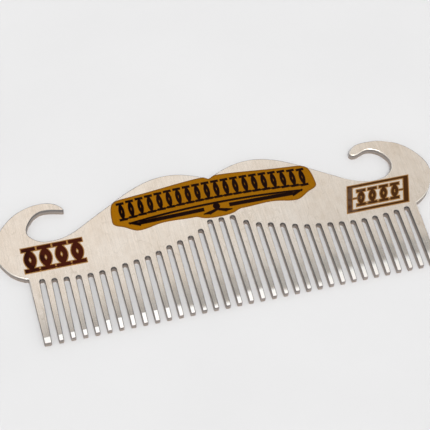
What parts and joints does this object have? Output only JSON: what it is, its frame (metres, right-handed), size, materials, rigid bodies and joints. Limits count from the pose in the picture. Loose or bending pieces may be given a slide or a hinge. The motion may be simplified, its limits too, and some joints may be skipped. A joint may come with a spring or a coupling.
{
  "type": "beard comb",
  "caption": "Flat pocket beard comb in the outline of a moustache, with straight teeth, two curled hooks and coloured ornaments on its face.",
  "frame": {"origin": "middle of the underside", "axes": "+X along the comb with the teeth nearest the viewer, +Y away from the teeth, +Z out of the marked face"},
  "size_m": [0.1162, 0.0406, 0.0021],
  "materials": {
    "steel": "fine brushing across the plate, ground tips",
    "ochre_colour": "thin colour layer on the metal",
    "black_colour": "thin colour layer on the metal",
    "dark_brown_colour": "thin colour layer with a gold fringe",
    "brown_colour": "thin colour layer with a gold fringe"
  },
  "bodies": {
    "root": {"comb_plate": "steel", "banner_field": "ochre_colour", "banner_frieze": "black_colour", "banner_rules": "black_colour", "left_mark": "dark_brown_colour", "right_mark": "brown_colour"}
  },
  "joints": []
}
